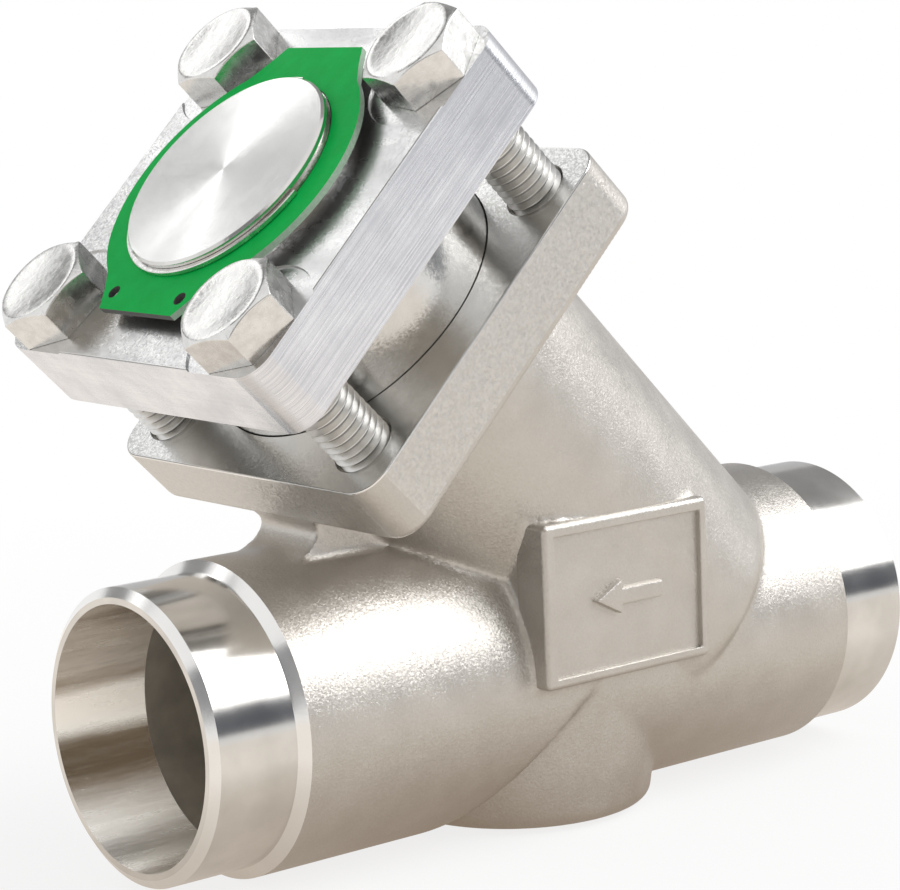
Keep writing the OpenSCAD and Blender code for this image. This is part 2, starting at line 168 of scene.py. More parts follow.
def roundEdges(piece, test, radius, segments):
    # Bevels the edges whose two ends (local, in mm) pass the test
    editAll(piece)
    bpy.ops.mesh.select_mode(type="EDGE")
    bpy.ops.mesh.select_all(action="DESELECT")
    bpy.ops.object.mode_set(mode="OBJECT")
    verts = piece.data.vertices
    for edge in piece.data.edges:
        a, b = (verts[i].co / mm for i in edge.vertices)
        edge.select = test(a, b)
    bpy.ops.object.mode_set(mode="EDIT")
    bpy.ops.mesh.bevel(offset=radius * mm, offset_type="OFFSET", segments=segments, affect="EDGES")
    bpy.ops.mesh.select_mode(type="VERT")
    closeEdit()


def bevelUpright(piece, radius, segments):
    # Rounds the four edges that run along local Z
    roundEdges(piece, lambda a, b: (a - b).xy.length < 1e-4, radius, segments)


def easeRim(piece, height, radius, segments):
    # Rounds the edges that lie at one height
    roundEdges(piece, lambda a, b: abs(a.z - height) < 1e-3 and abs(b.z - height) < 1e-3, radius, segments)


def outlined(name, points, low, high, place):
    # An outline of (x, y) in mm becomes a face, which is extruded from low to high
    moves = [(x1 - x0, y1 - y0, 0) for (x0, y0), (x1, y1) in zip(points, points[1:])]
    piece = drawLine(name, (*points[0], low), moves)
    bpy.ops.mesh.select_all(action="SELECT")
    bpy.ops.mesh.edge_face_add()
    bpy.ops.mesh.extrude_region_move(TRANSFORM_OT_translate={"value": (0, 0, (high - low) * mm)})
    closeEdit()
    return putInPlace(piece, place)


def cutAt(piece, point, normal):
    # Keeps the side that the normal points away from and closes the cut
    editAll(piece)
    bpy.ops.mesh.bisect(plane_co=point, plane_no=normal, use_fill=True, clear_outer=True, clear_inner=False)
    closeEdit()


def joined(name, pieces):
    deselectAll()
    for piece in pieces:
        piece.select_set(True)
    bpy.context.view_layer.objects.active = pieces[0]
    bpy.ops.object.join()
    piece = bpy.context.object
    piece.name = piece.data.name = name
    return piece


def neckPoint(height):
    # Point on the neck's axis, height in mm
    return neckFrame @ Vector((0, 0, height * mm))


neckAxis = neckFrame.to_3x3() @ Vector((0, 0, 1))


# Finishes

class Link:
    # A socket of a finish whose maths is written as Python expressions
    def __init__(self, finish, socket):
        self.finish = finish
        self.socket = socket

    def reckon(self, operation, other):
        return self.finish.node("ShaderNodeMath", {"operation": operation}, {0: self, 1: other})

    def __add__(self, other):
        return self.reckon("ADD", other)

    def __sub__(self, other):
        return self.reckon("SUBTRACT", other)

    def __mul__(self, other):
        return self.reckon("MULTIPLY", other)

    def __truediv__(self, other):
        return self.reckon("DIVIDE", other)

    def __pow__(self, other):
        return self.reckon("POWER", other)


class Finish:
    # A material under construction; constants are values of its shader
    def __init__(self, name, **constants):
        self.material = bpy.data.materials.new(name)
        self.material.use_nodes = True
        self.tree = self.material.node_tree
        self.tree.nodes.clear()
        self.shader = self.tree.nodes.new("ShaderNodeBsdfPrincipled")
        self.output = self.tree.nodes.new("ShaderNodeOutputMaterial")
        self.tree.links.new(self.shader.outputs[0], self.output.inputs["Surface"])
        for key, value in constants.items():
            self.shader.inputs[key.replace("_", " ")].default_value = value

    def node(self, kind, settings=None, inputs=None, out=0):
        made = self.tree.nodes.new(kind)
        for key, value in (settings or {}).items():
            setattr(made, key, value)
        for key, value in (inputs or {}).items():
            if isinstance(value, Link):
                self.tree.links.new(value.socket, made.inputs[key])
            else:
                made.inputs[key].default_value = value
        return Link(self, made.outputs[out])

    def set(self, name, link):
        self.tree.links.new(link.socket, self.shader.inputs[name])

    def shade(self, value, v, low=0.35, high=0.65):
        # Base colour from dark to pale as the value goes from low to high
        self.set("Base Color", self.mix(self.spread(value, low, high), v["dark"], v["pale"]))

    def roughen(self, value, low, high):
        # Roughness between the two, as a noise goes from its usual low to its usual high
        self.set("Roughness", self.spread(value, 0.3, 0.7, low, high))

    def position(self, frameOf="row"):
        # Object coordinates in mm, in the row's or the neck's own frame
        raw = self.node("ShaderNodeTexCoord", out="Object")
        places = {
            "row": ((0, 0, 0), (0, 0, 0)),
            "neck": ((crossingX * mm, 0, 0), (0, neckLean, 0)),
        }
        location, rotation = places[frameOf]
        return self.node("ShaderNodeMapping", {"vector_type": "TEXTURE"},
                         {"Vector": raw, "Location": location, "Rotation": rotation, "Scale": (mm, mm, mm)})

    def split(self, vector):
        made = self.tree.nodes.new("ShaderNodeSeparateXYZ")
        self.tree.links.new(vector.socket, made.inputs[0])
        return [Link(self, made.outputs[i]) for i in range(3)]

    def join(self, x, y, z):
        return self.node("ShaderNodeCombineXYZ", None, {0: x, 1: y, 2: z})

    def noise(self, vector, scale, detail, rough=0.5, stretch=None):
        if stretch:
            vector = self.node("ShaderNodeVectorMath", {"operation": "MULTIPLY"}, {0: vector, 1: stretch})
        return self.node("ShaderNodeTexNoise", None,
                         {"Vector": vector, "Scale": scale, "Detail": detail, "Roughness": rough})

    def spread(self, value, low, high, toLow=0.0, toHigh=1.0):
        # Maps low..high to toLow..toHigh and clamps there
        return self.node("ShaderNodeMapRange", {"clamp": True},
                         {"Value": value, "From Min": low, "From Max": high, "To Min": toLow, "To Max": toHigh})

    def mix(self, share, first, second):
        made = self.tree.nodes.new("ShaderNodeMix")
        made.data_type = "RGBA"
        for socket, value in ((made.inputs[0], share), (made.inputs[6], first), (made.inputs[7], second)):
            if isinstance(value, Link):
                self.tree.links.new(value.socket, socket)
            else:
                socket.default_value = value
        return Link(self, made.outputs[2])

    def bump(self, height, strength, distance, normal=None):
        inputs = {"Height": height, "Strength": strength, "Distance": distance * mm}
        if normal:
            inputs["Normal"] = normal
        return self.node("ShaderNodeBump", None, inputs)


def glints(f, position, size, tilt, normal):
    # Tiny facets, each leaning its own way, as blasting leaves them
    cells = f.node("ShaderNodeTexVoronoi", None, {"Vector": position, "Scale": 1 / size}, out=1)
    lean = f.node("ShaderNodeVectorMath", {"operation": "SUBTRACT"}, {0: cells, 1: (0.5, 0.5, 0.5)})
    lean = f.node("ShaderNodeVectorMath", {"operation": "SCALE"}, {0: lean, "Scale": tilt})
    lean = f.node("ShaderNodeVectorMath", {"operation": "ADD"}, {0: normal, 1: lean})
    return f.node("ShaderNodeVectorMath", {"operation": "NORMALIZE"}, {0: lean})


def grooved(f, along, place, amount):
    # Tool marks finer than a pixel: the normal leans to and fro along one direction, in step with the place
    waves = f.node("ShaderNodeTexWhiteNoise", {"noise_dimensions": "1D"}, {"W": place * 97.0})
    lean = f.node("ShaderNodeVectorMath", {"operation": "SCALE"}, {0: along, "Scale": (waves - 0.5) * amount})
    normal = f.node("ShaderNodeNewGeometry", out="Normal")
    leaned = f.node("ShaderNodeVectorMath", {"operation": "ADD"}, {0: normal, 1: lean})
    return f.node("ShaderNodeVectorMath", {"operation": "NORMALIZE"}, {0: leaned})


def castSteelFinish():
    # Blasted casting: low lumps, fine grain and glints
    v = {"pale": (0.60, 0.575, 0.54, 1), "dark": (0.54, 0.515, 0.48, 1), "rough": (0.38, 0.46),
         "grain": 2.2, "lumps": 0.14, "facet": 0.28, "tilt": 0.12}
    f = Finish("castSteel", Metallic=1.0)
    p = f.position()
    grain = f.noise(p, v["grain"], 3, 0.55)
    lumps = f.noise(p, v["lumps"], 3)
    f.shade(lumps * 0.6 + grain * 0.4, v)
    f.roughen(lumps, *v["rough"])
    bumps = f.bump(grain, 0.45, 0.15, f.bump(lumps, 0.12, 1.2))
    f.set("Normal", glints(f, p, v["facet"], v["tilt"], bumps))
    return f.material


def turnedSteelFinish(name, bright):
    # Weld ends: fine tool marks along the pipe, and a share of near-white base colour, which on chamfers and edge
    # bevels is a painted highlight
    v = {"pale": (0.74, 0.725, 0.70, 1), "dark": (0.64, 0.625, 0.60, 1), "bright": (0.97, 0.97, 0.96, 1),
         "rough": (0.13, 0.19), "soil": 0.10, "marks": 0.05}
    f = Finish(name, Metallic=1.0)
    p = f.position()
    soil = f.noise(p, v["soil"], 3)
    baseTone = f.mix(f.spread(soil, 0.35, 0.65), v["dark"], v["pale"])
    f.set("Base Color", f.mix(bright, baseTone, v["bright"]))
    f.roughen(soil, *v["rough"])
    f.set("Normal", grooved(f, (1, 0, 0), f.split(p)[0], v["marks"]))
    return f.material


def boredFinish():
    # Inside the weld ends: rings whose flanks face the opening and so throw its light out; the base colour paints
    # the wall's reflections, a bright band at mid-height and paler bands near top and bottom, with painted shade
    # in brown between
    v = {"pale": (1.0, 0.98, 0.93, 1), "dark": (0.30, 0.245, 0.185, 1), "rough": (0.20, 0.30), "metal": 0.9,
         "paintedBandHigh": 0.34, "paintedBandLow": 0.8, "streaks": 0.6, "marks": 0.7, "flank": 0.5}
    f = Finish("boredSteel", Metallic=v["metal"])
    p = f.position()
    x, _, z = f.split(p)
    streaks = f.noise(p, 0.55, 4, 0.65, stretch=(0.12, 1, 1))
    # Painted reflection bands: white at mid-height, partly towards white near the top, most of the way near the
    # bottom
    middle = f.spread(z, -5.0, -2.5) * f.spread(z, 5.0, 2.5)
    baseTone = middle + f.spread(z, 4.0, 7.0) * v["paintedBandHigh"] + f.spread(z, -11, -17) * v["paintedBandLow"]
    f.shade(baseTone + (streaks - 0.5) * v["streaks"] + 0.04, v, 0.0, 1.0)
    f.roughen(streaks, *v["rough"])
    rings = grooved(f, (1, 0, 0), x, v["marks"])
    tilt = f.join(f.spread(x, -80, -70, -v["flank"], v["flank"]), 0, 0)
    lean = f.node("ShaderNodeVectorMath", {"operation": "ADD"}, {0: rings, 1: tilt})
    f.set("Normal", f.node("ShaderNodeVectorMath", {"operation": "NORMALIZE"}, {0: lean}))
    return f.material


def sawnFinish():
    # Flange sides: cast grain drawn out along the flange
    v = {"pale": (0.66, 0.64, 0.61, 1), "dark": (0.59, 0.57, 0.54, 1), "rough": (0.34, 0.42),
         "grain": 1.9, "facet": 0.30, "tilt": 0.22}
    f = Finish("sawnSteel", Metallic=1.0)
    p = f.position("neck")
    lines = f.noise(p, 1.0, 3, 0.6, stretch=(0.10, 0.10, 1.9))
    grain = f.noise(p, v["grain"], 2)
    f.shade(grain, v)
    f.roughen(grain, *v["rough"])
    bumps = f.bump(grain, 0.5, 0.14, f.bump(lines, 0.2, 0.06))
    f.set("Normal", glints(f, p, v["facet"], v["tilt"], bumps))
    return f.material


def millFinish(name, streak, cloud):
    # Plate sides: fine streaks along the plate's length over soft clouds
    v = {"pale": (0.88, 0.885, 0.91, 1), "dark": (0.61, 0.62, 0.66, 1), "rough": (0.32, 0.22), "clouds": 0.12}
    f = Finish(name, Metallic=1.0)
    p = f.position("neck")
    streaks = f.noise(p, 1.0, 3, 0.75, stretch=(0.025, 0.025, 3.0))
    clouds = f.noise(p, v["clouds"], 4, 0.6)
    tone = (streaks - 0.5) * streak + (clouds - 0.5) * cloud + 0.5
    f.shade(tone, v, 0.3, 0.7)
    f.roughen(tone, *v["rough"])
    f.set("Normal", f.bump(streaks, 0.5 * streak, 0.06))
    return f.material


def blastedFinish():
    # Bonnet's top: ground, with soft stains
    v = {"pale": (0.74, 0.74, 0.735, 1), "dark": (0.60, 0.60, 0.60, 1), "rough": (0.32, 0.22),
         "grain": 1.6, "stains": 0.13, "facet": 0.3, "tilt": 0.07}
    f = Finish("blastedSteel", Metallic=1.0)
    p = f.position("neck")
    grain = f.noise(p, v["grain"], 3, 0.6)
    stains = f.noise(p, v["stains"], 4, 0.55, stretch=(1, 0.4, 1))
    f.shade(stains, v, 0.38, 0.62)
    f.roughen(stains, *v["rough"])
    f.set("Normal", glints(f, p, v["facet"], v["tilt"], f.bump(grain, 0.25, 0.08)))
    return f.material


def facedFinish(name, waver, rough, tilt=0.0):
    # Faced on a lathe: the normal wavers along the radius only; a tilt adds glints
    v = {"pale": (0.78, 0.78, 0.77, 1), "dark": (0.74, 0.74, 0.73, 1), "soil": 0.3, "facet": 0.3}
    f = Finish(name, Metallic=1.0, Roughness=rough)
    p = f.position("neck")
    x, y, _ = f.split(p)
    radius = (x * x + y * y + 0.0001) ** 0.5
    q = math.sqrt(0.5)      # turns the neck frame's radial direction back into the row frame
    leaned = grooved(f, f.join(x / radius * q, y / radius, x / radius * q), radius, waver)
    f.set("Normal", glints(f, p, v["facet"], tilt, leaned) if tilt else leaned)
    f.shade(f.noise(p, v["soil"], 3), v)
    return f.material


def collarFinish():
    # Bonnet's round parts: tool marks along the neck
    v = {"pale": (0.74, 0.73, 0.71, 1), "dark": (0.64, 0.63, 0.61, 1), "rough": (0.17, 0.22), "soil": 0.12,
         "marks": 0.07, "facet": 0.3, "tilt": 0.05}
    f = Finish("collarSteel", Metallic=1.0)
    p = f.position("neck")
    height = f.split(p)[2]
    f.shade(f.noise(p, v["soil"], 3), v)
    f.roughen(f.noise(p, 0.5, 2), *v["rough"])
    leaned = grooved(f, tuple(neckAxis), height, v["marks"])
    f.set("Normal", glints(f, p, v["facet"], v["tilt"], leaned))
    return f.material


def boltFinish(name, mottling, rough):
    # Plated steel, softly mottled
    v = {"pale": (0.80, 0.795, 0.78, 1), "dark": (0.68, 0.675, 0.66, 1), "mottle": 0.55, "rougher": 0.12}
    f = Finish(name, Metallic=1.0)
    p = f.position("neck")
    mottle = f.noise(p, v["mottle"], 3, 0.55)
    f.shade(mottle, v)
    f.roughen(mottle, rough, rough + v["rougher"])
    f.set("Normal", f.bump(mottle, mottling, 0.5))
    return f.material


def greenFinish():
    # Thin green paint with a slight peel
    v = {"pale": (0.003, 0.54, 0.095, 1), "dark": (0.003, 0.48, 0.08, 1), "rough": (0.38, 0.48), "gloss": 0.06,
         "peel": 2.2, "patches": 0.3}
    f = Finish("greenPaint", Specular_IOR_Level=v["gloss"])
    p = f.position("neck")
    peel = f.noise(p, v["peel"], 2)
    f.shade(f.noise(p, v["patches"], 3), v, 0.3, 0.7)
    f.roughen(peel, *v["rough"])
    f.set("Normal", f.bump(peel, 0.12, 0.05))
    return f.material


def plainFinish(name, colour, rough, metallic=0.0, scale=2.0):
    # One colour that a grain darkens by a fifth
    f = Finish(name, Metallic=metallic)
    grain = f.noise(f.position(), scale, 3)
    darker = tuple(c * 0.8 for c in colour[:3]) + (1,)
    f.shade(grain, {"pale": colour, "dark": darker}, 0.3, 0.7)
    f.roughen(grain, rough - 0.06, rough + 0.06)
    f.set("Normal", f.bump(grain, 0.2, 0.1))
    return f.material


finishes = {
    "cast": castSteelFinish(),
    "turned": turnedSteelFinish("turnedSteel", 0.0),
    # Paler steel for chamfers and edge bevels: a painted highlight
    "edge": turnedSteelFinish("paintedHighlightSteel", 0.5),
    "bored": boredFinish(),
    "way": plainFinish("waySteel", (0.68, 0.635, 0.56, 1), 0.4, 0.6, 0.25),
    "sawn": sawnFinish(),
    "milled": millFinish("milledSteel", 0.9, 0.5),
    "ground": millFinish("groundSteel", 0.25, 0.7),
    "blasted": blastedFinish(),
    "faced": facedFinish("facedSteel", 0.42, 0.14),
    "ringed": facedFinish("ringedSteel", 0.10, 0.26, 0.07),
    "collar": collarFinish(),
    "bolt": boltFinish("boltSteel", 0.12, 0.2),
    "thread": boltFinish("threadSteel", 0.02, 0.30),
    # Dark steel in the thread's grooves: painted shade
    "root": plainFinish("paintedThreadShade", (0.30, 0.30, 0.30, 1), 0.45, 1.0),
    "green": greenFinish(),
    # Near-black for the ring plate's underside, inner edge and wire holes: painted shade
    "paintedShade": plainFinish("paintedShade", (0.09, 0.09, 0.085, 1), 0.6),
    "paleEdge": plainFinish("paleEdge", (0.40, 0.56, 0.42, 1), 0.4),
    "gasket": plainFinish("gasketFibre", (0.10, 0.11, 0.12, 1), 0.75),
    "soft": plainFinish("whiteRing", (0.80, 0.80, 0.76, 1), 0.4),
    "spring": plainFinish("springSteel", (0.55, 0.56, 0.58, 1), 0.3, 1.0),
}
print("finishes ready")


def dress(piece, *names):
    piece.data.materials.clear()
    for name in names:
        piece.data.materials.append(finishes[name])


def assign(piece, index, test, place=rowFrame):
    # Gives the finish with that index to the faces whose points (in mm, in a frame) and normal pass the test
    back = place.inverted()
    turn = back.to_3x3()
    points = [back @ vertex.co / mm for vertex in piece.data.vertices]
    for face in piece.data.polygons:
        if test([points[i] for i in face.vertices], turn @ face.normal):
            face.material_index = index


def standFor(piece, nodes, body):
    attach(piece, body)
    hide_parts(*nodes)


# Cast body

body = {
    "voxel": 0.72, "smooth": 7,                # mm of the remesh, and passes of smoothing
    "barrel": 26.05, "outletLength": 116, "inletBarrel": 25.9, "inletLength": 76.5, "mitre": 24.8,
    "neckLow": 28.7, "neckHigh": 29.3, "neckFloor": 4.2, "neckRound": 4.5,
    "footTop": 25.9, "footLow": 23.3, "footZ": -25.5, "footRound": 2.2,
    "flangeLow": 78.1, "flangeHigh": 90.6, "flangeSide": 70, "flangeCorner": 5.5, "flangeEase": 1.7,
    "panelX": (-91.0, -54.5), "panelZ": (0.9, 28.4), "panelFloor": 28.7, "panelRim": 29.6,
    "rimWidths": (2.2, 1.7, 1.8, 2.2),         # left, right, bottom, top
    "stub": 24.15, "land": 22.6, "bevel": 1.12, "shoulder": 15.6, "shoulderSlope": 1.55,
    "bore": 21.55, "way": 21.1, "boreDepth": 17.4, "boreTaper": 1.3, "webLow": 4,
    "inletWay": 73, "outletWay": 118, "chamber": 24.6, "chamberLow": 8.5, "recess": 27.35, "recessLow": 81.2,
    "seat": 20, "seatRim": 22.6, "seatTop": 10.5, "tapped": 5.02, "tappedLow": 76,
    "rib": [(-121.1, 31), (-117, 36), (-107, 30), (-107, 22), (-125.6, 22), (-124.5, 25.4), (-121.9, 26.8),
            (-120.2, 29)],
    "ribHalf": 8,
    "arrowTip": -80.4, "arrowBack": -74.4, "arrowEnd": -65.2, "arrowMid": 14.4,
    "arrowHead": 3.1, "arrowShaft": 1.5,       # half widths
}


def roundedFoot(side, low, radius, count=6):
    # Profile from the axis along the bottom and round the corner up to the side, in (radius, height)
    made = [(0, low)]
    for i in range(count + 1):
        a = math.radians(-90 + 90 * i / count)
        made.append((side - radius + radius * math.cos(a), low + radius + radius * math.sin(a)))
    return made


def flangePlate(less=0.0):
    b = body
    half = b["flangeSide"] / 2 - less
    flange = block("flange", (-half, -half, b["flangeLow"] + less / 2), (half, half, b["flangeHigh"] - less))
    bevelUpright(flange, b["flangeCorner"], 10)
    if less == 0:
        easeRim(flange, b["flangeLow"], b["flangeEase"], 4)
        easeRim(flange, b["flangeHigh"], 0.3, 2)
    return putInPlace(flange, neckFrame)


def buildCasting():
    b = body
    outlet = turned("outletBarrel", [(0, 6), (b["barrel"], 6), (b["barrel"], -b["outletLength"]),
                                     (0, -b["outletLength"])], outletFrame, 128)
    cutAt(outlet, neckPoint(b["mitre"]), -neckAxis)
    inlet = turned("inletBarrel", [(0, 6), (b["inletBarrel"], 6), (b["inletBarrel"], -b["inletLength"]),
                                   (0, -b["inletLength"])], inletFrame, 128)
    neck = turned("neckBarrel", roundedFoot(b["neckLow"], b["neckFloor"], b["neckRound"])
                  + [(b["neckHigh"], b["flangeLow"] + 2), (0, b["flangeLow"] + 2)], neckFrame, 128)
    foot = turned("foot", roundedFoot(b["footLow"], b["footZ"], b["footRound"])
                  + [(b["footTop"], 0), (0, 0)], footFrame, 128)
    flange = flangePlate(0.3)
    rib = outlined("rib", b["rib"], -b["ribHalf"], b["ribHalf"], sideFrame)
    x0, x1 = b["panelX"]
    z0, z1 = b["panelZ"]
    panel = block("panel", (x0 + 0.3, -b["panelFloor"] + 0.3, z0 + 0.3), (x1 - 0.3, -16, z1 - 0.3))
    casting = joined("valveBody", [outlet, inlet, neck, foot, flange, rib, panel])
    applyModifier(casting, "REMESH", mode="VOXEL", voxel_size=b["voxel"] * mm, adaptivity=0)
    applyModifier(casting, "SMOOTH", factor=0.5, iterations=b["smooth"])
    print("casting remeshed", len(casting.data.polygons))
    return casting


def buildPanel(casting):
    # Crisp raised face: a rim and a flow arrow over the panel's floor
    b = body
    x0, x1 = b["panelX"]
    z0, z1 = b["panelZ"]
    face = block("panelFace", (x0 + 0.4, -b["panelFloor"], z0 + 0.4), (x1 - 0.4, -22, z1 - 0.4))
    rim = block("panelRim", (x0, -b["panelRim"], z0), (x1, -22, z1))
    easeEdges(rim, 0.95, 5)
    left, right, low, high = b["rimWidths"]
    inside = block("panelInside", (x0 + left, -b["panelRim"] - 2, z0 + low), (x1 - right, -21, z1 - high))
    boolean(rim, [inside], "DIFFERENCE")
    easeEdges(rim, 0.3, 3, 50)
    tip, back, end, mid = b["arrowTip"], b["arrowBack"], b["arrowEnd"], b["arrowMid"]
    head, shaft = b["arrowHead"], b["arrowShaft"]
    arrow = outlined("arrow", [(tip, mid), (back, mid - head), (back, mid - shaft), (end, mid - shaft),
                               (end, mid + shaft), (back, mid + shaft), (back, mid + head)],
                     22, b["panelFloor"] + 1.3, sideFrame)
    easeEdges(arrow, 0.8, 2, 40)
    boolean(casting, [face, rim, arrow, flangePlate()], "UNION")


def endCutter(name, place):
    # Takes away what lies outside the turned weld end, with its bevel and shoulder
    b = body
    shoulder, wide, stub = -b["shoulder"], b["barrel"] + 0.4, b["stub"]
    deep = shoulder - b["shoulderSlope"]
    return turned(name, [(wide, deep), (stub + 0.25, shoulder - 0.12), (stub, shoulder + 0.1), (stub, -b["bevel"]),
                         (b["land"], 0), (b["land"], 8), (40, 8), (40, deep), (wide, deep)], place, 160)


def wayCutter(name, place, depth):
    # The bore of a weld end and the way behind it
    b = body
    bore, way, taper = b["bore"], b["way"], -b["boreDepth"]
    return turned(name, [(0, 9), (bore, 9), (bore, taper), (way, taper - b["boreTaper"]), (way, -depth),
                         (0, -depth)], place, 128)


def cutCasting(casting):
    b = body
    for place in (inletFrame, outletFrame):
        beyond = turned("facing", [(0, 0), (60, 0), (60, 12), (0, 12), (0, 0)], place, 64)
        boolean(casting, [beyond, endCutter("endCutter", place)], "DIFFERENCE")
    inlet = wayCutter("inletWay", inletFrame, b["inletWay"])
    cutAt(inlet, neckPoint(b["webLow"]), neckAxis)
    outlet = wayCutter("outletWay", outletFrame, b["outletWay"])
    low, wide, seat, rim, top = b["chamberLow"], b["recess"], b["seat"], b["seatRim"], b["seatTop"]
    cutAt(outlet, neckPoint(low), -neckAxis)
    chamber = turned("chamber", [(0, low), (b["chamber"], low), (b["chamber"], b["recessLow"]),
                                 (wide, b["recessLow"]), (wide, 95), (0, 95)], neckFrame, 128)
    hole = turned("seatHole", [(0, 2), (seat, 2), (seat, 10), (0, 10)], neckFrame, 128)
    boolean(casting, [inlet, outlet, chamber, hole], "DIFFERENCE")
    tapped = [(0, b["tappedLow"]), (b["tapped"], b["tappedLow"]), (b["tapped"], 90.1), (5.6, 90.8), (5.6, 95),
              (0, 95)]
    for w in (-boltPlace, boltPlace):
        for y in (-boltPlace, boltPlace):
            place = neckFrame @ Matrix.Translation((w * mm, y * mm, 0))
            boolean(casting, [turned("tappedHole", tapped, place, 48)], "DIFFERENCE")
    ring = turned("seatRing", [(seat, 8), (rim, 8), (rim, top - 0.3), (rim - 0.3, top), (seat + 0.3, top),
                               (seat, top - 0.3), (seat, 8)], neckFrame, 128)
    boolean(casting, [ring], "UNION")


def finishCasting(casting):
    b = body
    bore, boreDepth, shoulder, high = b["bore"] + 0.05, b["boreDepth"], b["shoulder"], b["flangeHigh"]

    def depth(point):
        return min(-point.x, point.x - outletX)      # from the nearer weld face

    def isTurned(points, n):
        nearest = min(point.yz.length for point in points)
        return max(depth(point) for point in points) < shoulder + 1.7 and b["bore"] - 0.02 < nearest < 25.5

    def isRing(points, n):
        nearest = min(point.yz.length for point in points)
        bevel = all(depth(point) < 1.2 for point in points) and nearest > b["land"] - 0.3
        return isTurned(points, n) and (bevel or all(depth(point) > shoulder - 0.2 for point in points))

    def isBored(points, n):
        return all(depth(point) < boreDepth + 0.05 and point.yz.length < bore for point in points)

    def isWay(points, n):
        return all(depth(point) > boreDepth - 0.05 and point.yz.length < bore for point in points)

    def isFaced(points, n):
        low, wide = b["recessLow"] - 0.2, b["recess"] + 0.25
        top = all(abs(point.z - high) < 0.02 for point in points)
        return top or all(low < point.z < high + 0.1 and point.xy.length < wide for point in points)

    def isEdge(points, n):
        return 0.2 < n.z < 0.97 and all(
            high - 0.35 < point.z < high + 0.02 and point.xy.length > 34 for point in points)

    def isSawn(points, n):
        low, half = b["flangeLow"] + 1, b["flangeSide"] / 2
        reach = [max(abs(point.x), abs(point.y)) for point in points]
        return all(low < point.z < high - 0.1 for point in points) and half - 0.1 < min(reach) and max(
            reach) < half + 0.1

    dress(casting, "cast", "turned", "bored", "ringed", "sawn", "edge", "way")
    assign(casting, 6, isWay)
    assign(casting, 1, isTurned)
    # Chamfers and shoulders of the weld ends, and the flange's top edge below, get the paler steel: a painted
    # highlight
    assign(casting, 5, isRing)
    assign(casting, 2, isBored)
    assign(casting, 3, isFaced, neckFrame)
    assign(casting, 4, isSawn, neckFrame)
    assign(casting, 5, isEdge, neckFrame)
    smoothBy(casting, 28)
    standFor(casting, ["housing"], "housing_assembly")


casting = buildCasting()
buildPanel(casting)
cutCasting(casting)
finishCasting(casting)
print("body done", len(casting.data.polygons))


# Bonnet

bonnet = {"side": 70, "corner": 5, "low": 105.4, "high": 119.5, "collar": 27.15, "collarLow": 83, "spot": 11.8,
          "spotDepth": 0.4, "hole": 5.5, "boss": 19.6, "bossTop": 124.6, "shoulder": 22.2, "shoulderTop": 121.4,
          "groove": 18.6, "cylinderSeat": 18.45, "pin": 8.5, "pinLow": 101.4}
boltAxes = {"boltFront": (-boltPlace, -boltPlace), "boltLeft": (-boltPlace, boltPlace),
            "boltBack": (boltPlace, boltPlace), "boltRight": (boltPlace, -boltPlace)}


